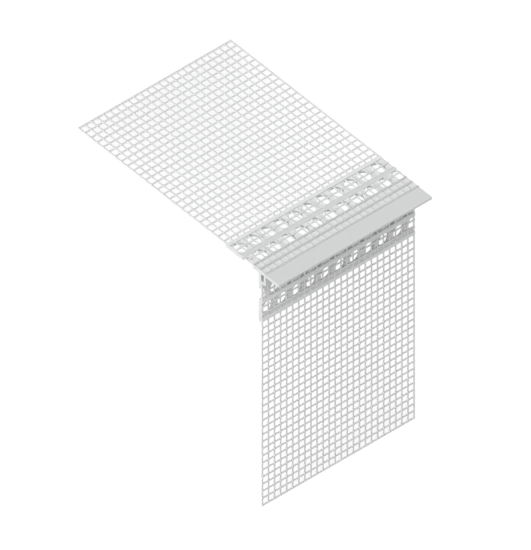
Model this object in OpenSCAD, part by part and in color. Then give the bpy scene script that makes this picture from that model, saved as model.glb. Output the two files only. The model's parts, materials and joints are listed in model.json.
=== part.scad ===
// Window sill connection profile: a perforated plastic extrusion with two strips of glass-fibre mesh.
// A sloping plate passes under the window sill and ends in a drip lip. A leg below it lies on the
// face of the insulation, and a small closed chamber in front of the leg stops the render.
// One mesh strip is bedded on the plate and runs back over the insulation, the other lies on the
// front of the leg and hangs down the facade. Low beads along the extrusion hold both strips.
//
// Section coordinates, as mounted: y points back from the front face of the leg, and z points up
// from the top of the plate above that face. X runs along the length.
// The part is stored as it rests on a floor: on the outer edges of its two mesh strips, like a
// tent, with its origin on the floor below the middle.

/* [Extrusion] */
// Length of the piece
profile_l = 100; // [60:1:120]
// Thickness of the plate and of the leg
wall_t = 1.5; // [1.2:0.1:1.8]
// Fall of the plate towards its lip, in degrees
plate_fall = 10; // [6:1:14]
// Reach of the lip in front of the leg, along the slope
lip_reach = 11.9; // [9:0.1:16]
// Reach of the flange behind the front face of the leg, along the slope
flange_reach = 23.2; // [23.2:0.1:24.8]
// Height of the leg, from the top of the plate to its lower edge
leg_h = 28.8; // [27.5:0.1:31.8]
// Radius of the corners of the plate and the leg
corner_r = 0.3; // [0.1:0.05:0.4]

/* [Chamber] */
// Clear width of the chamber in front of the leg
chamber_w = 1.6; // [1.2:0.1:2.4]
// Depth of the chamber's floor below the top of the plate
chamber_h = 5.6; // [4.5:0.1:6]
// Thickness of the chamber's front wall
chamber_front_t = 1.3; // [0.9:0.1:1.4]
// Thickness of the chamber's floor
chamber_floor_t = 1.5; // [0.9:0.1:1.6]
// Radius of the chamber's outer corner
chamber_corner_r = 0.6; // [0.1:0.05:0.8]

/* [Holes] */
// Radius of every hole
hole_r = 3.3; // [2:0.1:3.3]
// Pitch of the holes along a row of the flange
flange_pitch = 9; // [8:0.01:12]
// Place of the first whole hole in the flange's back row, from the left end
flange_first = 4.1; // [3.6:0.1:6]
// Distance of the two flange rows behind the front face of the leg, along the slope
flange_rows = [8.7, 17.8];
// Pitch of the holes along a row of the leg
leg_pitch = 9.45; // [8:0.01:12]
// Place of the first whole hole in the leg's lower row, from the left end
leg_first = 4.6; // [3.6:0.1:6]
// Depth of the two leg rows below the top of the plate
leg_rows = [13.1, 22];

/* [Beads] */
// Height of the beads above the plate and the leg
bead_h = 0.6; // [0.55:0.05:0.8]
// Width of the round bead between two rows of holes
mid_bead_w = 2.5; // [2.1:0.1:2.5]
// Distance of the flange's round bead behind the front face of the leg, along the slope
flange_bead = 12.8; // [12.7:0.1:13.3]
// Depth of the leg's round bead below the top of the plate
leg_bead = 17.7; // [17.6:0.1:17.9]
// Width of the bead along the flange's back edge and the leg's lower edge
edge_bead_w = 2; // [1.2:0.1:2]

/* [Mesh] */
// Pitch of the weft strands, and nearly that of the warp strands
mesh_pitch = 4; // [4:0.05:4.1]
// Thickness of the mesh strips
mesh_t = 0.5; // [0.3:0.05:0.5]
// Depth to which the upper strip is bedded in the plate
mesh_bed = 0.2; // [0.1:0.05:0.25]
// Width of the strands that run away from the extrusion
warp_w = 1; // [0.6:0.05:1.1]
// Width of the strands that run along the extrusion
weft_w = 0.85; // [0.6:0.05:0.9]
// Number of strands along the extrusion in each strip
weft_count = 32; // [24:1:40]
// Distance of the upper strip's first weft strand in front of the leg, along the slope
top_mesh_start = 2.7; // [2.4:0.1:3]
// Depth of the front strip's first weft strand below the top of the plate
front_mesh_start = 8.35; // [8.2:0.05:8.5]

/* [Hidden] */
$fn = 48;

cut_clear = 1;
// Upper end of the leg and the chamber, inside the thickness of the plate
root_z = -0.8 * wall_t;

// Warp strands: one at each end of the piece, and the rest spread evenly between them
warp_gaps = round((profile_l - warp_w) / mesh_pitch);
warp_pitch = (profile_l - warp_w) / warp_gaps;

// Places of the weft strands: along the slope, and below the top of the plate
top_wefts = [for (k = [0 : weft_count - 1]) k * mesh_pitch - top_mesh_start];
front_wefts = [for (k = [0 : weft_count - 1]) k * mesh_pitch + front_mesh_start];
top_mesh_end = top_wefts[weft_count - 1] + weft_w / 2;
front_mesh_end = front_wefts[weft_count - 1] + weft_w / 2;

// Turn from the mounted position to the stored one, which brings both strips' lower edges level
function on_slope(s, n) = [
    s * cos(plate_fall) - n * sin(plate_fall),
    s * sin(plate_fall) + n * cos(plate_fall)
];
front_foot = [0, -front_mesh_end];
back_foot = on_slope(top_mesh_end, -mesh_bed);
tent_turn = atan2(back_foot.y - front_foot.y, back_foot.x - front_foot.x);
function turned(p) = [
    p.x * cos(tent_turn) + p.y * sin(tent_turn),
    p.y * cos(tent_turn) - p.x * sin(tent_turn)
];
front_limit = turned([-mesh_t, -front_mesh_end]).x;
back_limit = turned(on_slope(top_mesh_end, mesh_t - mesh_bed)).x;
floor_z = turned(front_foot).y;

// Weft strands that lie wholly between two ends, with their middles outside the round bead
function wefts_held(places, bead_at, ends) = [
    for (p = places) if (p - weft_w / 2 >= ends[0] && p + weft_w / 2 <= ends[1])
        if (abs(p - bead_at) > mid_bead_w / 2) p
];
// Weft strands past the edge of the extrusion, and the inner and outer half of them
function wefts_free(places, edge) = [for (p = places) if (p - weft_w / 2 > edge) p];
function inner_half(places) = [for (i = [0 : ceil(len(places) / 2) - 1]) places[i]];
function outer_half(places) = [for (i = [ceil(len(places) / 2) : len(places) - 1]) places[i]];

// A bar with rounded corners, from the origin
module rounded_bar(w, h) {
    translate([corner_r, 0]) square([w - 2 * corner_r, h]);
    translate([0, corner_r]) square([w, h - 2 * corner_r]);
    for (x = [corner_r, w - corner_r], y = [corner_r, h - corner_r]) {
        translate([x, y]) circle(corner_r);
    }
}

// The round bead: a low arc, centred on the origin, which runs on down to a given depth
module round_bead(root) {
    arc_r = (mid_bead_w * mid_bead_w / 4 + bead_h * bead_h) / (2 * bead_h);
    intersection() {
        translate([0, bead_h - arc_r]) circle(arc_r);
        translate([-mid_bead_w, -root]) square([2 * mid_bead_w, root + bead_h + cut_clear]);
    }
}

// The edge bead, with upright flanks and a rounded top, centred on the origin
module edge_bead() {
    top_r = bead_h / 2;
    translate([-edge_bead_w / 2, -2 * mesh_bed]) square([edge_bead_w, 2 * mesh_bed + top_r]);
    translate([top_r - edge_bead_w / 2, 0]) square([edge_bead_w - 2 * top_r, bead_h]);
    for (side = [-1, 1]) {
        translate([side * (edge_bead_w / 2 - top_r), top_r]) circle(top_r);
    }
}

// The plate, with the shallow bed for the upper mesh strip and the bead along its back edge
module plate_section() {
    rotate(plate_fall) {
        difference() {
            translate([-lip_reach, -wall_t]) rounded_bar(lip_reach + flange_reach, wall_t);
            translate([top_wefts[0] - weft_w / 2, -mesh_bed]) {
                square([lip_reach + flange_reach, wall_t]);
            }
        }
        translate([flange_reach - edge_bead_w / 2, 0]) edge_bead();
    }
}

// The leg, with the bead along its lower edge
module leg_section() {
    translate([0, -leg_h]) rounded_bar(wall_t, leg_h + root_z + corner_r);
    translate([0, edge_bead_w / 2 - leg_h]) rotate(90) edge_bead();
}

// The closed chamber under the plate, in front of the leg
module chamber_section() {
    outer_w = chamber_w + chamber_front_t + wall_t / 2;
    outer_h = chamber_h + chamber_floor_t + root_z;
    r = chamber_corner_r;
    difference() {
        translate([-chamber_w - chamber_front_t, -chamber_h - chamber_floor_t]) {
            translate([r, 0]) square([outer_w - r, outer_h]);
            translate([0, r]) square([outer_w, outer_h - r]);
            translate([r, r]) circle(r);
        }
        translate([-chamber_w, -chamber_h]) square([chamber_w, chamber_h]);
    }
}

// Two staggered rows of holes: the first is half a pitch behind the second
module hole_rows(rows, pitch, first) {
    for (row = [0, 1]) {
        for (x = [first - (1 - row) * pitch / 2 : pitch : profile_l + hole_r / 2]) {
            translate([x, rows[row], 0]) cylinder(r = hole_r, h = wall_t + 2 * cut_clear);
        }
    }
}

// A field of crossing strands, with weft strands at the given places, from one end to the other
module mesh_field(wefts, ends) {
    linear_extrude(mesh_t) {
        for (i = [0 : warp_gaps]) {
            translate([i * warp_pitch, ends[0]]) square([warp_w, ends[1] - ends[0]]);
        }
        for (y = wefts) {
            translate([0, y - weft_w / 2]) square([profile_l, weft_w]);
        }
    }
}

// A section drawn along the whole length, and a given distance past each end
module along_length(past_end) {
    translate([-past_end, 0, 0]) rotate([90, 0, 90]) {
        linear_extrude(profile_l + 2 * past_end) children();
    }
}

// The round bead on the flange, down to a given depth and a given distance past each end
module flange_round_bead(root, past_end) {
    along_length(past_end) rotate(plate_fall) translate([flange_bead, 0]) round_bead(root);
}

// The round bead on the leg, down to a given depth and a given distance past each end
module leg_round_bead(root, past_end) {
    along_length(past_end) translate([0, -leg_bead]) rotate(90) round_bead(root);
}

// A field of the upper strip, bedded in the plate
module top_field(wefts, ends) {
    rotate([plate_fall, 0, 0]) translate([0, 0, -mesh_bed]) mesh_field(wefts, ends);
}

// A field of the front strip, on the front face of the leg
module leg_field(wefts, ends) {
    translate([0, -mesh_t, 0]) rotate([-90, 0, 0]) mesh_field(wefts, ends);
}

// From the mounted position to the stored one
module stored() {
    translate([-profile_l / 2, -(front_limit + back_limit) / 2, -floor_z]) {
        rotate([-tent_turn, 0, 0]) children();
    }
}

// The extrusion: its round beads lie on the surfaces that carry the mesh, over the rims of the holes
module sill_profile() {
    color("gainsboro") stored() {
        difference() {
            along_length(0) {
                plate_section();
                leg_section();
                chamber_section();
            }
            rotate([plate_fall, 0, 0]) translate([0, 0, -wall_t - cut_clear]) {
                hole_rows(flange_rows, flange_pitch, flange_first);
            }
            translate([0, -cut_clear, 0]) rotate([-90, 0, 0]) {
                hole_rows(leg_rows, leg_pitch, leg_first);
            }
        }
        flange_round_bead(mesh_bed, 0);
        leg_round_bead(0, 0);
    }
}

// The part of the upper strip that lies on the plate: two pieces, one on each side of the bead
module top_mesh_front() {
    front = [top_wefts[0] - weft_w / 2, flange_bead];
    back = [flange_bead, flange_reach - edge_bead_w];
    color("whitesmoke") stored() for (ends = [front, back]) {
        difference() {
            top_field(wefts_held(top_wefts, flange_bead, ends), ends);
            flange_round_bead(cut_clear, cut_clear);
        }
    }
}

// The free part of the upper strip next to the flange
module top_mesh_middle() {
    wefts = inner_half(wefts_free(top_wefts, flange_reach));
    end = wefts[len(wefts) - 1] + mesh_pitch / 2;
    color("whitesmoke") stored() top_field(wefts, [flange_reach, end]);
}

// The outer part of the upper strip
module top_mesh_back() {
    wefts = outer_half(wefts_free(top_wefts, flange_reach));
    color("whitesmoke") stored() top_field(wefts, [wefts[0] - mesh_pitch / 2, top_mesh_end]);
}

// The part of the front strip that lies on the leg: two pieces, one on each side of the bead
module leg_mesh_upper() {
    upper = [front_wefts[0] - weft_w / 2, leg_bead];
    lower = [leg_bead, leg_h - edge_bead_w];
    color("whitesmoke") stored() for (ends = [upper, lower]) {
        difference() {
            leg_field(wefts_held(front_wefts, leg_bead, ends), ends);
            leg_round_bead(cut_clear, cut_clear);
        }
    }
}

// The free part of the front strip next to the leg
module leg_mesh_middle() {
    wefts = inner_half(wefts_free(front_wefts, leg_h));
    end = wefts[len(wefts) - 1] + mesh_pitch / 2;
    color("whitesmoke") stored() leg_field(wefts, [leg_h, end]);
}

// The outer part of the front strip
module leg_mesh_lower() {
    wefts = outer_half(wefts_free(front_wefts, leg_h));
    color("whitesmoke") stored() leg_field(wefts, [wefts[0] - mesh_pitch / 2, front_mesh_end]);
}

sill_profile();
top_mesh_front();
top_mesh_middle();
top_mesh_back();
leg_mesh_upper();
leg_mesh_middle();
leg_mesh_lower();
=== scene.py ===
"""Looks of a window sill connection profile: a perforated plastic extrusion with two strips of glass mesh.

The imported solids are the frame. The profile keeps its solid and gets an extruded plastic finish. Each mesh
strip is woven anew, from pairs of warp yarns that twist round flat weft yarns, and stands for its three plain
solids. The studio is a pale floor under soft light, with a parallel camera at the photograph's angle.
"""

import json
import logging
import math
from dataclasses import dataclass
from enum import Enum
from typing import Any

import bmesh
import bpy
from mathutils import Matrix, Vector


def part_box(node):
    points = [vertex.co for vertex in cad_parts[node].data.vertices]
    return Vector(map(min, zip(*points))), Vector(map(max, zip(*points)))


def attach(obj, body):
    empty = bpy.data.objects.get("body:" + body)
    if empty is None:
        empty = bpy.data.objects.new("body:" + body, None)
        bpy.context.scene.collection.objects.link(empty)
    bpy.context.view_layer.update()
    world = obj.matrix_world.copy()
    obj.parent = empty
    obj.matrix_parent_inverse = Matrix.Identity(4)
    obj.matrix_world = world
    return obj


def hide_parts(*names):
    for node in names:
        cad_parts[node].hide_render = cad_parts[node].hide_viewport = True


LOG = logging.getLogger("sill_profile")
MM = 0.001
LEG_WALL = 1.5 * MM
# Depth of the leg_back mount's point below the top of the plate
LEG_MOUNT_DEPTH = 17.6 * MM

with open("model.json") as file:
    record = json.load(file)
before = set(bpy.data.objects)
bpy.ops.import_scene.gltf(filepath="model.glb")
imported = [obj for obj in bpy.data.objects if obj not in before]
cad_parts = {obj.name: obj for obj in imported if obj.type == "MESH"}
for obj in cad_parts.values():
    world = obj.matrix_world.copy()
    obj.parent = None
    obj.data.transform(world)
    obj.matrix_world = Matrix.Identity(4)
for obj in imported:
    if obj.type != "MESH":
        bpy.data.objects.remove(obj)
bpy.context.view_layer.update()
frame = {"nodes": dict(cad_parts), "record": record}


# Places


@dataclass(frozen=True)
class MountedFrame:
    """Section coordinates, as the profile is mounted on a wall, placed in the row frame.

    X runs along the length from its left end, Y points back from the front face of the leg, and Z points up
    from the top of the plate above that face.
    """

    turn: Matrix
    origin: Vector

    @classmethod
    def from_record(cls, record: dict[str, Any], wall: float, depth: float, length: float) -> "MountedFrame":
        """Reads the mounted frame off the mount on the back of the leg.

        Args:
            record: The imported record.
            wall: Thickness of the leg.
            depth: Depth of the mount's point below the top of the plate.
            length: Length of the profile.

        Returns:
            The frame whose Y axis is that mount's axis.
        """
        mount = next(m for m in record["mounts"] if m["name"] == "leg_back")
        along = Vector((1, 0, 0))
        back = Vector(mount["axis"]).normalized()
        turn = Matrix((along, back, along.cross(back))).transposed()
        return cls(turn, Vector(mount["pos_m"]) - turn @ Vector((length / 2, wall, -depth)))

    def at(self, x: float, y: float, z: float) -> Vector:
        """The row-frame place of a point in section coordinates, in metres."""
        return self.origin + self.turn @ Vector((x, y, z))

    def towards(self, x: float, y: float, z: float) -> Vector:
        """The row-frame unit vector of a direction in section coordinates."""
        return (self.turn @ Vector((x, y, z))).normalized()


@dataclass(frozen=True)
class StripPlane:
    """The middle plane of a mesh strip: along the extrusion, across the strip and out of its face."""

    start: Vector
    along: Vector
    across: Vector
    out: Vector

    def at(self, u: float, v: float, w: float) -> Vector:
        """The row-frame place of a point that is given along, across and out."""
        return self.start + self.along * u + self.across * v + self.out * w


# Shader graphs

# Sockets of the Mix node when it mixes colours
MIX_COLOUR_A = 6
MIX_COLOUR_B = 7
MIX_COLOUR_OUT = 2


@dataclass(frozen=True)
class Shade:
    """A number that varies over a surface: arithmetic on it adds Math nodes to its graph."""

    graph: "Graph"
    socket: bpy.types.NodeSocket

    def __add__(self, other: "Shade | float") -> "Shade":
        """The sum."""
        return self.graph.maths("ADD", self, other)

    __radd__ = __add__

    def __sub__(self, other: "Shade | float") -> "Shade":
        """The difference."""
        return self.graph.maths("SUBTRACT", self, other)

    def __rsub__(self, other: float) -> "Shade":
        """The difference from a number."""
        return self.graph.maths("SUBTRACT", other, self)

    def __mul__(self, other: "Shade | float") -> "Shade":
        """The product."""
        return self.graph.maths("MULTIPLY", self, other)

    __rmul__ = __mul__

    def __gt__(self, other: float) -> "Shade":
        """One where the number is over a limit, and zero elsewhere."""
        return self.graph.maths("GREATER_THAN", self, other)

    def __abs__(self) -> "Shade":
        """The size without its sign."""
        return self.graph.maths("ABSOLUTE", self)

    def or_(self, other: "Shade") -> "Shade":
        """The larger of the two."""
        return self.graph.maths("MAXIMUM", self, other)


class Graph:
    """The node graph of one material or world."""

    def __init__(self, owner: bpy.types.Material | bpy.types.World) -> None:
        """Empties the owner's node tree and takes it over.

        Args:
            owner: The material or world.
        """
        owner.use_nodes = True
        self.tree = owner.node_tree
        self.tree.nodes.clear()

    def node(
        self,
        kind: str,
        settings: dict[str, Any] | None = None,
        inputs: dict[str | int, Any] | None = None,
    ) -> bpy.types.Node:
        """Adds a node.

        Args:
            kind: The node's type.
            settings: Its properties, which are set first.
            inputs: A value or a link for each of its sockets.

        Returns:
            The node.
        """
        node = self.tree.nodes.new(kind)
        for name, value in (settings or {}).items():
            setattr(node, name, value)
        for key, value in (inputs or {}).items():
            source = value.socket if isinstance(value, Shade) else value
            if isinstance(source, bpy.types.NodeSocket):
                self.tree.links.new(source, node.inputs[key])
            else:
                node.inputs[key].default_value = source
        return node

    def maths(self, operation: str, *terms: "Shade | float") -> Shade:
        """The result of a Math node on numbers and shades."""
        node = self.node("ShaderNodeMath", {"operation": operation}, dict(enumerate(terms)))
        return Shade(self, node.outputs[0])

    def read(self, kind: str, output: str) -> bpy.types.NodeSocket:
        """One output of a node that has no inputs to set."""
        return self.node(kind).outputs[output]

    def stretch(
        self, vector: bpy.types.NodeSocket, factors: tuple[float, float, float]
    ) -> bpy.types.NodeSocket:
        """A vector scaled by a number for each axis."""
        node = self.node("ShaderNodeVectorMath", {"operation": "MULTIPLY"}, {0: vector, 1: factors})
        return node.outputs[0]

    def reach(self, vector: bpy.types.NodeSocket, direction: Vector, start: Vector) -> Shade:
        """How far a place lies from a start, measured along a direction."""
        node = self.node("ShaderNodeVectorMath", {"operation": "DOT_PRODUCT"}, {0: vector, 1: direction})
        return Shade(self, node.outputs[1]) - direction.dot(start)

    def noise(self, vector: bpy.types.NodeSocket, detail: float = 2.0) -> Shade:
        """Smooth noise, from 0 to 1, with features about as large as one unit of the vector."""
        inputs = {"Vector": vector, "Scale": 1.0, "Detail": detail}
        return Shade(self, self.node("ShaderNodeTexNoise", {"noise_dimensions": "3D"}, inputs).outputs[0])

    def tint(self, factor: Shade, low: tuple[float, ...], high: tuple[float, ...]) -> bpy.types.NodeSocket:
        """The colour between two others."""
        inputs = {0: factor, MIX_COLOUR_A: (*low, 1), MIX_COLOUR_B: (*high, 1)}
        return self.node("ShaderNodeMix", {"data_type": "RGBA"}, inputs).outputs[MIX_COLOUR_OUT]

    def bump(self, height: Shade, distance: float) -> bpy.types.NodeSocket:
        """The normal of a surface with a height map, whose full range is the distance in metres."""
        inputs = {"Strength": 1.0, "Distance": distance, "Height": height}
        return self.node("ShaderNodeBump", None, inputs).outputs[0]

    def finish(self, shader: bpy.types.Node, kind: str = "ShaderNodeOutputMaterial") -> None:
        """Sends a shader node to the output."""
        self.node(kind, None, {"Surface": shader.outputs[0]})


def shaded(colour: tuple[float, ...], amount: float) -> tuple[float, ...]:
    """A colour made lighter or darker by a share of itself."""
    return tuple(c * (1 + amount) for c in colour)


@dataclass(frozen=True)
class Patch:
    """A part of the surface that is lighter or darker: it gives the bed its paler tone, the beads a painted
    highlight and the yarns a band of painted shade.

    It lies over a height from a strip's middle plane, and past a place across the strip.
    """

    plane: StripPlane
    past: float
    above: float
    lift: float

    def mask(self, graph: Graph, place: bpy.types.NodeSocket) -> Shade:
        """One on the patch, and zero elsewhere."""
        over = graph.reach(place, self.plane.out, self.plane.start) > self.above
        return over * (graph.reach(place, self.plane.across, self.plane.start) > self.past)


@dataclass(frozen=True)
class PlasticFinish:
    """Pale grey extruded plastic: satin, with die lines along its length, sawn ends and paler patches, of
    which those on the beads are painted highlights.
    """

    patches: tuple[Patch, ...]
    colour: tuple[float, float, float] = (0.655, 0.665, 0.66)
    mottle: float = 0.02
    # How much paler the palest patch is, painted highlights included
    lightest: float = 0.17
    ior: float = 1.5
    roughness: float = 0.42
    roughness_spread: float = 0.1
    # Waves for each metre along the three axes
    die_line_grain: tuple[float, float, float] = (6, 1100, 1100)
    fine_line_grain: tuple[float, float, float] = (20, 5200, 5200)
    saw_mark_grain: tuple[float, float, float] = (0, 350, 5000)
    cloud_grain: tuple[float, float, float] = (90, 90, 90)
    cloud_detail: float = 3
    die_line_share: float = 0.65
    die_line_depth: float = 0.012 * MM
    saw_mark_depth: float = 0.03 * MM
    saw_roughness: float = 0.18
    # How nearly a sawn face looks along the extrusion
    sawn_facing: float = 0.9

    def material(self) -> bpy.types.Material:
        """Builds the material.

        Returns:
            The finished material.
        """
        material = bpy.data.materials.new("extruded_plastic")
        graph = Graph(material)
        place = graph.read("ShaderNodeTexCoord", "Object")
        normal = graph.read("ShaderNodeNewGeometry", "True Normal")
        side = graph.node("ShaderNodeSeparateXYZ", None, {0: normal}).outputs[0]
        sawn = abs(Shade(graph, side)) > self.sawn_facing
        die_lines = graph.noise(graph.stretch(place, self.die_line_grain))
        fine_lines = graph.noise(graph.stretch(place, self.fine_line_grain))
        saw_marks = graph.noise(graph.stretch(place, self.saw_mark_grain))
        cloud = graph.noise(graph.stretch(place, self.cloud_grain), self.cloud_detail)
        lift = cloud * (2 * self.mottle)
        # The patches give the bed its paler tone and the beads a painted highlight
        for patch in self.patches:
            lift = lift + patch.mask(graph, place) * patch.lift
        colour = graph.tint(
            lift * (1 / (2 * self.mottle + self.lightest)),
            shaded(self.colour, -self.mottle),
            shaded(self.colour, self.mottle + self.lightest),
        )
        lines = die_lines * self.die_line_share + fine_lines * (1 - self.die_line_share)
        height = (1 - sawn) * lines * self.die_line_depth + sawn * saw_marks * self.saw_mark_depth
        shader = graph.node(
            "ShaderNodeBsdfPrincipled",
            None,
            {
                "Base Color": colour,
                "Roughness": self.roughness
                + (die_lines - 0.5) * self.roughness_spread
                + sawn * self.saw_roughness,
                "IOR": self.ior,
                "Normal": graph.bump(height * (1 / MM), MM),
            },
        )
        graph.finish(shader)
        return material


@dataclass(frozen=True)
class YarnFinish:
    """Coated glass-fibre yarn: pale, with fine filaments along it, and darker in a band on the plate, which
    is painted shade.
    """

    name: str
    colour: tuple[float, float, float]
    # How much darker the yarns are in the band: painted shade
    painted_shade: float
    band: tuple[Patch, ...]
    shade: float = 0.05
    roughness: float = 0.5
    roughness_spread: float = 0.15
    # Waves for each unit of the yarns' UV map, and for each metre along the three axes
    filament_grain: tuple[float, float, float] = (60, 22, 0)
    pool_grain: tuple[float, float, float] = (700, 700, 700)
    filament_detail: float = 1
    filament_depth: float = 0.03 * MM
    coat: float = 0.12
    coat_roughness: float = 0.3

    def material(self) -> bpy.types.Material:
        """Builds the material, whose filaments follow the yarns' own UV map.

        Returns:
            The finished material.
        """
        material = bpy.data.materials.new(self.name)
        graph = Graph(material)
        run = graph.read("ShaderNodeTexCoord", "UV")
        place = graph.read("ShaderNodeTexCoord", "Object")
        filaments = graph.noise(graph.stretch(run, self.filament_grain), self.filament_detail)
        pool = graph.noise(graph.stretch(place, self.pool_grain))
        # Painted shade darkens the yarns in the band, standing in for shade where they lie on the plate
        lift = filaments * (2 * self.shade) + self.painted_shade
        for patch in self.band:
            lift = lift + patch.mask(graph, place) * (patch.lift * self.painted_shade)
        colour = graph.tint(
            lift * (1 / (2 * self.shade + self.painted_shade)),
            shaded(self.colour, -self.shade - self.painted_shade),
            shaded(self.colour, self.shade),
        )
        shader = graph.node(
            "ShaderNodeBsdfPrincipled",
            None,
            {
                "Base Color": colour,
                "Roughness": self.roughness + (pool - 0.5) * self.roughness_spread,
                "Coat Weight": self.coat,
                "Coat Roughness": self.coat_roughness,
                "Normal": graph.bump(filaments * (self.filament_depth / MM), MM),
            },
        )
        graph.finish(shader)
        return material


@dataclass(frozen=True)
class FloorFinish:
    """A pale matt floor that looks white to the camera where no shadow falls."""

    albedo: float = 0.35
    glow: float = 0.74

    def material(self) -> bpy.types.Material:
        """Builds the material, which glows only as seen by the camera and in gloss and glass.

        Returns:
            The finished material.
        """
        material = bpy.data.materials.new("floor")
        graph = Graph(material)
        grey = (self.albedo, self.albedo, self.albedo, 1)
        diffuse = graph.node("ShaderNodeBsdfDiffuse", None, {"Color": grey})
        glow = graph.node("ShaderNodeEmission", None, {"Strength": seen_directly(graph) * self.glow})
        graph.finish(graph.node("ShaderNodeAddShader", None, {0: diffuse.outputs[0], 1: glow.outputs[0]}))
        return material


def seen_directly(graph: Graph) -> Shade:
    """One for the camera's own rays and those that come by gloss or glass, and zero for the rest.

    Args:
        graph: The graph to add the nodes to.

    Returns:
        The shade.
    """
    path = graph.node("ShaderNodeLightPath").outputs
    camera, glossy, through = (
        Shade(graph, path[name]) for name in ("Is Camera Ray", "Is Glossy Ray", "Is Transmission Ray")
    )
    return camera.or_(glossy).or_(through)


# The mesh strips


class YarnRun(Enum):
    """Which way a yarn runs in a strip."""

    WARP = "away from the extrusion"
    WEFT = "along the extrusion"


@dataclass(frozen=True)
class Station:
    """One cross-section of a yarn: its middle in the strip's plane, and its half sizes."""

    u: float
    v: float
    w: float
    half_width: float
    half_thickness: float


@dataclass(frozen=True)
class Bead:
    """A bead of the extrusion that a strip passes under."""

    middle: float
    half_width: float
    round_top: bool


@dataclass
class MeshStrip:
    """A strip of leno-woven mesh: pairs of warp yarns twist round flat weft yarns.

    Shares are of the strip's thickness, and steps and reaches along a warp yarn are of a cell.
    """

    name: str
    plane: StripPlane
    length: float
    first_weft: float
    beads: tuple[Bead, Bead]
    replaced: tuple[str, ...]
    pitch: float = 4 * MM
    weft_count: int = 32
    warp_width: float = 1 * MM
    weft_width: float = 0.85 * MM
    thickness: float = 0.5 * MM
    # Sides of a yarn's cross-section, and how upright its flanks are
    sides: int = 6
    flank: float = 1.5
    warp_steps: tuple[float, ...] = (0, 0.11, 0.17, 0.5, 0.83, 0.89)
    pressed_reach: float = 0.11
    crossing_reach: float = 0.17
    warp_share: float = 0.16
    pressed_share: float = 0.15
    # How much wider a warp yarn is where it is pressed
    pressed_spread: float = 1.7
    weft_share: float = 0.38
    nipped_share: float = 0.2
    # How far from a warp pair's middle a weft yarn has its full thickness again, in widths of the pair
    nip_reach: float = 0.6
    bedding: float = 0.1 * MM
    weft_rise: float = 0.08 * MM
    dip: float = 0.18 * MM
    dip_margin: float = 0.7 * MM
    same_place: float = 0.001 * MM

    @property
    def warp_gaps(self) -> int:
        """The number of gaps between warp pairs."""
        return round((self.length - self.warp_width) / self.pitch)

    @property
    def warp_pitch(self) -> float:
        """The distance from one warp pair to the next."""
        return (self.length - self.warp_width) / self.warp_gaps

    @property
    def width(self) -> float:
        """The strip's width, from the outer edge of its first weft yarn to that of its last."""
        return (self.weft_count - 1) * self.pitch + self.weft_width

    @property
    def yarn_area(self) -> float:
        """The flat area that the yarns cover.

        Returns:
            The area in square metres.
        """
        open_along = 1 - (self.warp_gaps + 1) * self.warp_width / self.length
        open_across = 1 - self.weft_count * self.weft_width / self.width
        return self.length * self.width * (1 - open_along * open_across)

    def weft_places(self) -> list[float]:
        """The weft yarns that show: those that no bead covers or cuts with its upright flank.

        Returns:
            Their places across the strip.
        """
        half = self.weft_width / 2
        places = []
        for k in range(self.weft_count):
            place = self.first_weft + k * self.pitch
            reaches = (bead.half_width + (0 if bead.round_top else half) for bead in self.beads)
            if all(abs(place - bead.middle) > reach for bead, reach in zip(self.beads, reaches)):
                places.append(place)
        return places

    def is_on_plastic(self, v: float) -> bool:
        """Whether a place across the strip lies on the extrusion."""
        return v < self.beads[-1].middle

    def sunk(self, v: float) -> float:
        """How far the warp yarns sink into the plastic and under its beads.

        Args:
            v: A place across the strip.

        Returns:
            The depth.
        """
        depth = self.bedding if self.is_on_plastic(v) else 0.0
        for bead in self.beads:
            share = 1 - (abs(v - bead.middle) - bead.half_width) / self.dip_margin
            share = min(1.0, max(0.0, share))
            depth = max(depth, self.dip * share * share * (3 - 2 * share))
        return depth

    def warp_station(self, cells: float, side: int) -> Station:
        """A cross-section of one yarn of a warp pair.

        The pair is pressed flat over and under each weft yarn. Its two yarns run side by side from one to the
        next, and change places at each.

        Args:
            cells: Place across the strip, in cells from the first weft yarn.
            side: 1 for one yarn of the pair and -1 for the other.

        Returns:
            The station.
        """
        nearest = round(cells)
        share = (self.crossing_reach - abs(cells - nearest)) / (self.crossing_reach - self.pressed_reach)
        crossing = min(1.0, max(0.0, share))
        lane = 1 if math.floor(cells) % 2 == 0 else -1
        above = 1 if nearest % 2 == 0 else -1
        quarter = self.warp_width / 4
        thick_share = self.warp_share + (self.pressed_share - self.warp_share) * crossing
        half_thickness = self.thickness * thick_share
        v = self.first_weft + cells * self.pitch
        return Station(
            self.warp_width / 2 + side * lane * quarter * (1 - crossing),
            v,
            side * above * (self.thickness / 2 - half_thickness) * crossing - self.sunk(v),
            quarter * (1 + (self.pressed_spread - 1) * crossing),
            half_thickness,
        )

    def warp_yarn(self, side: int) -> list[Station]:
        """The stations of one yarn of the first warp pair, from the strip's first edge to its last.

        Args:
            side: 1 for one yarn of the pair and -1 for the other.

        Returns:
            The stations.
        """
        overhang = self.weft_width / 2 / self.pitch
        last = self.weft_count - 1
        inner = [cell + step for cell in range(last) for step in self.warp_steps]
        return [self.warp_station(cells, side) for cells in (-overhang, *inner, last, last + overhang)]

    def weft_yarn(self) -> list[Station]:
        """The stations of a weft yarn at the strip's start: flat where a warp pair presses it.

        Returns:
            The stations.
        """
        reach = self.warp_width * self.nip_reach
        nip = ((-reach, self.weft_share), (0.0, self.nipped_share), (reach, self.weft_share))
        stations = []
        for i in range(self.warp_gaps + 1):
            middle = self.warp_width / 2 + i * self.warp_pitch
            for offset, share in nip:
                u = min(max(middle + offset, 0.0), self.length)
                stations.append(Station(u, 0.0, 0.0, self.weft_width / 2, self.thickness * share))
        return stations

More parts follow.
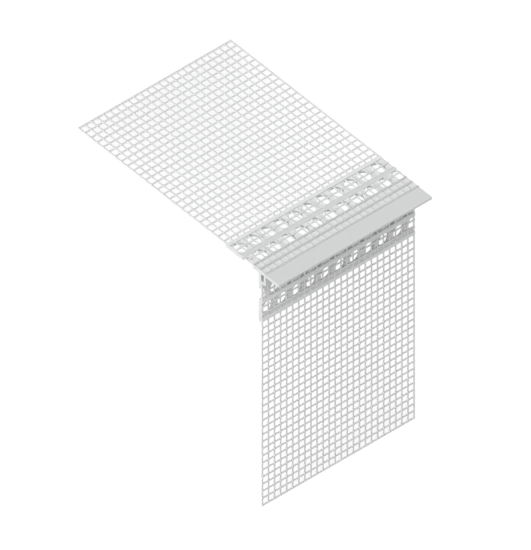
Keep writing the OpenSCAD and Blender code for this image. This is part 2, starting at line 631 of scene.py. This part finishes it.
    def tube(
        self, mesh: bmesh.types.BMesh, stations: list[Station], run: YarnRun
    ) -> list[bmesh.types.BMVert]:
        """Wraps a grid round a yarn's stations, with upright flanks, and closes it.

        Args:
            mesh: The mesh to add the yarn to.
            stations: The yarn's cross-sections, in order.
            run: Which way the yarn runs.

        Returns:
            The yarn's vertices.
        """
        last = len(stations) - 1
        half_side = math.pi / self.sides
        made = bmesh.ops.create_grid(
            mesh, x_segments=last, y_segments=self.sides, size=0.5, calc_uvs=True
        )
        for vert in made["verts"]:
            station = stations[round((vert.co.x + 0.5) * last)]
            turn = math.tau * (vert.co.y + 0.5) + half_side
            wide = station.half_width * math.cos(turn) / math.cos(half_side)
            high = station.half_thickness * min(1.0, max(-1.0, self.flank * math.sin(turn)))
            if run is YarnRun.WARP:
                vert.co = self.plane.at(station.u + wide, station.v, station.w + high)
            else:
                vert.co = self.plane.at(station.u, station.v + wide, station.w + high)
        bmesh.ops.remove_doubles(mesh, verts=made["verts"], dist=self.same_place)
        verts = [vert for vert in made["verts"] if vert.is_valid]
        rim = [edge for edge in {e for vert in verts for e in vert.link_edges} if edge.is_boundary]
        bmesh.ops.holes_fill(mesh, edges=rim, sides=self.sides)
        return verts

    def weft_step(self, place: float) -> Vector:
        """How far a weft yarn lies from the strip's start, with a rise where the strip is bedded."""
        rise = self.weft_rise if self.is_on_plastic(place) else 0.0
        return self.plane.across * place + self.plane.out * rise

    def copies(
        self, mesh: bmesh.types.BMesh, verts: list[bmesh.types.BMVert], steps: list[Vector]
    ) -> None:
        """Repeats a yarn by each step.

        Args:
            mesh: The mesh that holds the yarn.
            verts: The yarn's vertices.
            steps: How far each copy lies from the yarn.
        """
        edges = {edge for vert in verts for edge in vert.link_edges}
        faces = {face for vert in verts for face in vert.link_faces}
        source = [*verts, *edges, *faces]
        for step in steps:
            copy = bmesh.ops.duplicate(mesh, geom=source)["geom"]
            moved = [element for element in copy if isinstance(element, bmesh.types.BMVert)]
            bmesh.ops.translate(mesh, vec=step, verts=moved)

    def build(
        self, warp_material: bpy.types.Material, weft_material: bpy.types.Material
    ) -> bpy.types.Object:
        """Weaves the strip as one object.

        Args:
            warp_material: The material of the yarns that run away from the extrusion.
            weft_material: The material of the yarns that run along it.

        Returns:
            The finished piece, riding on the part and standing for the strip's plain solids.
        """
        mesh = bmesh.new()
        mesh.loops.layers.uv.new("run")
        warp_steps = [self.plane.along * (i * self.warp_pitch) for i in range(1, self.warp_gaps + 1)]
        for side in (1, -1):
            self.copies(mesh, self.tube(mesh, self.warp_yarn(side), YarnRun.WARP), warp_steps)
        warp_faces = set(mesh.faces)
        weft = self.tube(mesh, self.weft_yarn(), YarnRun.WEFT)
        places = self.weft_places()
        self.copies(mesh, weft, [self.weft_step(place) for place in places[1:]])
        bmesh.ops.translate(mesh, vec=self.weft_step(places[0]), verts=weft)
        bmesh.ops.recalc_face_normals(mesh, faces=mesh.faces)
        for face in mesh.faces:
            face.smooth = len(face.verts) == 4
            face.material_index = 0 if face in warp_faces else 1
        data = bpy.data.meshes.new(self.name)
        mesh.to_mesh(data)
        mesh.free()
        data.materials.append(warp_material)
        data.materials.append(weft_material)
        piece = bpy.data.objects.new(self.name, data)
        bpy.context.scene.collection.objects.link(piece)
        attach(piece, "root")
        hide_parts(*self.replaced)
        self.width
        self.yarn_area
        LOG.info("%s: %d faces, %d weft yarns", self.name, len(data.polygons), len(places))
        return piece


# The whole part


@dataclass
class SillProfile:
    """The extrusion and its two mesh strips, in section coordinates of the mounted part."""

    mounted: MountedFrame
    length: float
    fall: float = math.radians(10)
    mesh_bed: float = 0.2 * MM
    mesh_thickness: float = 0.5 * MM
    top_first_weft: float = -2.7 * MM
    front_first_weft: float = 8.35 * MM
    round_bead_half_width: float = 1.25 * MM
    edge_bead_half_width: float = 1 * MM
    flange_bead: float = 12.8 * MM
    flange_reach: float = 23.2 * MM
    leg_bead: float = 17.7 * MM
    leg_height: float = 28.8 * MM
    # How far behind a round bead the painted highlight of the edge bead starts
    edge_gap: float = 5 * MM
    # Where the yarns' painted shade on the plate ends, across the strip
    painted_shade_reach: float = 5.8 * MM
    # Heights from a strip's middle plane, over which the tones start: the paler bed, the painted highlights
    # and the yarns' painted shade
    under_bed: float = -0.3 * MM
    over_bed: float = -0.15 * MM
    on_leg: float = -0.2 * MM
    on_flange_bead: float = 0.3 * MM
    # Tones, as shares of the plastic's colour: the paler bed, and painted highlights on the edge beads and
    # the leg's round bead
    bed_lift: float = 0.15
    flange_edge_highlight: float = 0.16
    leg_bead_highlight: float = 0.14
    leg_edge_highlight: float = 0.12
    warp_colour: tuple[float, float, float] = (0.745, 0.75, 0.748)
    weft_colour: tuple[float, float, float] = (0.72, 0.725, 0.722)
    # How much darker the yarns are in the band on the plate, as painted shade
    warp_painted_shade: float = 0.06
    weft_painted_shade: float = 0.19

    def beads(self, round_middle: float, edge: float) -> tuple[Bead, Bead]:
        """The round bead and the edge bead that a strip passes under."""
        return (
            Bead(round_middle, self.round_bead_half_width, True),
            Bead(edge - self.edge_bead_half_width, self.edge_bead_half_width, False),
        )

    def upper_strip(self) -> MeshStrip:
        """The strip that is bedded in the plate and runs back over the insulation.

        Returns:
            The strip, not yet woven.
        """
        across = self.mounted.towards(0, math.cos(self.fall), math.sin(self.fall))
        out = self.mounted.towards(0, -math.sin(self.fall), math.cos(self.fall))
        start = self.mounted.at(0, 0, 0) + out * (self.mesh_thickness / 2 - self.mesh_bed)
        return MeshStrip(
            "upper_mesh_strip",
            StripPlane(start, self.mounted.towards(1, 0, 0), across, out),
            self.length,
            self.top_first_weft,
            self.beads(self.flange_bead, self.flange_reach),
            ("top_mesh_front", "top_mesh_middle", "top_mesh_back"),
        )

    def front_strip(self) -> MeshStrip:
        """The strip that lies on the front of the leg and hangs down the facade.

        Returns:
            The strip, not yet woven.
        """
        out = self.mounted.towards(0, -1, 0)
        start = self.mounted.at(0, 0, 0) + out * (self.mesh_thickness / 2)
        return MeshStrip(
            "front_mesh_strip",
            StripPlane(start, self.mounted.towards(1, 0, 0), self.mounted.towards(0, 0, -1), out),
            self.length,
            self.front_first_weft,
            self.beads(self.leg_bead, self.leg_height),
            ("leg_mesh_upper", "leg_mesh_middle", "leg_mesh_lower"),
        )

    def bed_start(self, upper: MeshStrip) -> float:
        """Where the upper strip and its bed start, across the strip."""
        return self.top_first_weft - upper.weft_width / 2

    def paler_bed_and_painted_highlights(self, upper: MeshStrip, front: MeshStrip) -> tuple[Patch, ...]:
        """The parts of the extrusion with a paler tone: the bed, and both edge beads and the leg's round
        bead, on which it is a painted highlight.

        Args:
            upper: The strip on the plate.
            front: The strip on the leg.

        Returns:
            The patches, where one with a negative lift ends another's tone.
        """
        bed_start = self.bed_start(upper)
        leg_bead_start = self.leg_bead - self.round_bead_half_width
        leg_bead_end = self.leg_bead + self.round_bead_half_width
        return (
            Patch(upper.plane, bed_start, self.under_bed, self.bed_lift),
            Patch(upper.plane, bed_start, self.over_bed, -self.bed_lift),
            # Painted highlights on the flange's edge bead, the leg's round bead and the leg's edge bead
            Patch(
                upper.plane, self.flange_bead + self.edge_gap, self.on_flange_bead, self.flange_edge_highlight
            ),
            Patch(front.plane, leg_bead_start, self.on_leg, self.leg_bead_highlight),
            Patch(front.plane, leg_bead_end, self.on_leg, -self.leg_bead_highlight),
            Patch(front.plane, self.leg_bead + self.edge_gap, self.on_leg, self.leg_edge_highlight),
        )

    def painted_shade_band(self, upper: MeshStrip) -> tuple[Patch, ...]:
        """The band of yarn with painted shade, on the front of the plate: minus one where it starts, and one
        where the full tone comes back.
        """
        return (
            Patch(upper.plane, self.bed_start(upper), self.under_bed, -1.0),
            Patch(upper.plane, self.painted_shade_reach, self.under_bed, 1.0),
        )

    def build(self) -> None:
        """Dresses the extrusion's own solid and weaves both strips."""
        upper, front = self.upper_strip(), self.front_strip()
        extrusion = frame["nodes"]["sill_profile"]
        extrusion.data.materials.clear()
        # The plastic gets a paler bed and painted highlights on its beads
        extrusion.data.materials.append(PlasticFinish(self.paler_bed_and_painted_highlights(upper, front)).material())
        LOG.info("sill_profile: %d faces of the packed solid, plastic", len(extrusion.data.polygons))
        # The yarns get painted shade in a band on the front of the plate
        band = self.painted_shade_band(upper)
        warp = YarnFinish("warp_yarn", self.warp_colour, self.warp_painted_shade, band).material()
        weft = YarnFinish("weft_yarn", self.weft_colour, self.weft_painted_shade, band).material()
        for strip in (upper, front):
            strip.build(warp, weft)


# The studio


@dataclass(frozen=True)
class Lamp:
    """A distant soft lamp: where it stands as seen from the mounted part, and how much light it gives."""

    name: str
    stands: tuple[float, float, float]
    light: float
    softness: float


@dataclass
class Studio:
    """A pale floor, soft light and a parallel camera at the photograph's isometric angle."""

    mounted: MountedFrame
    image_width_px: float = 531
    image_height_px: float = 550
    px_per_mm: float = 2.165
    fold_px: tuple[float, float] = (261.2, 271.5)
    camera_distance: float = 1.0
    clip_start: float = 0.01
    clip_end: float = 20
    floor_size: float = 6.0
    # Light of the world, where its background is 1
    sky: float = 0.62
    lamps: tuple[Lamp, ...] = (
        Lamp("key_lamp", (-0.68, -0.12, 0.72), 0.41, math.radians(40)),
        Lamp("side_lamp", (-0.94, -0.12, 0.3), 0.5, math.radians(40)),
        Lamp("fill_lamp", (0, -1, 0.1), 0.13, math.radians(60)),
    )

    def camera(self) -> bpy.types.Object:
        """Adds the camera, level with the profile as mounted, and makes it the scene's.

        Returns:
            The camera object.
        """
        metres_per_px = MM / self.px_per_mm
        right = self.mounted.towards(1, -1, 0)
        up = self.mounted.towards(1, 1, 2)
        back = right.cross(up)
        shift_x = (self.image_width_px / 2 - self.fold_px[0]) * metres_per_px
        shift_y = (self.fold_px[1] - self.image_height_px / 2) * metres_per_px
        target = self.mounted.at(0, 0, 0) + right * shift_x + up * shift_y
        data = bpy.data.cameras.new("camera")
        data.type = "ORTHO"
        data.ortho_scale = max(self.image_width_px, self.image_height_px) * metres_per_px
        data.clip_start = self.clip_start
        data.clip_end = self.clip_end
        data.dof.use_dof = False
        camera = bpy.data.objects.new("camera", data)
        bpy.context.scene.collection.objects.link(camera)
        turn = Matrix((right, up, back)).transposed()
        place = target + back * self.camera_distance
        camera.matrix_world = Matrix.Translation(place) @ turn.to_4x4()
        bpy.context.scene.camera = camera
        LOG.info("camera: isometric, %.1f px for a millimetre", self.px_per_mm)
        return camera

    def light(self) -> None:
        """Adds the lamps, and a world that is dim as a light and white as a background."""
        for lamp in self.lamps:
            data = bpy.data.lights.new(lamp.name, "SUN")
            data.energy = lamp.light * math.pi
            data.angle = lamp.softness
            sun = bpy.data.objects.new(lamp.name, data)
            bpy.context.scene.collection.objects.link(sun)
            facing = self.mounted.towards(*lamp.stands).to_track_quat("Z", "Y")
            sun.matrix_world = facing.to_matrix().to_4x4()
            LOG.info("%s: %.2f", lamp.name, lamp.light)
        world = bpy.data.worlds.new("studio")
        graph = Graph(world)
        strength = self.sky + seen_directly(graph) * (1 - self.sky)
        background = graph.node("ShaderNodeBackground", None, {"Strength": strength})
        graph.finish(background, "ShaderNodeOutputWorld")
        bpy.context.scene.world = world

    def floor(self) -> bpy.types.Object:
        """Adds the floor under the part.

        Returns:
            The floor object.
        """
        mesh = bmesh.new()
        bmesh.ops.create_grid(mesh, x_segments=1, y_segments=1, size=self.floor_size / 2)
        data = bpy.data.meshes.new("floor")
        mesh.to_mesh(data)
        mesh.free()
        data.materials.append(FloorFinish().material())
        floor = bpy.data.objects.new("floor", data)
        bpy.context.scene.collection.objects.link(floor)
        return floor


def main() -> None:
    """Builds the part's looks and the studio."""
    logging.basicConfig(level=logging.INFO, format="%(message)s")
    low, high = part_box("sill_profile")
    length = high.x - low.x
    mounted = MountedFrame.from_record(frame["record"], LEG_WALL, LEG_MOUNT_DEPTH, length)
    studio = Studio(mounted)
    studio.camera()
    studio.light()
    studio.floor()
    SillProfile(mounted, length).build()
    bpy.context.scene.view_settings.view_transform = "Standard"


if __name__ == "__main__":
    main()
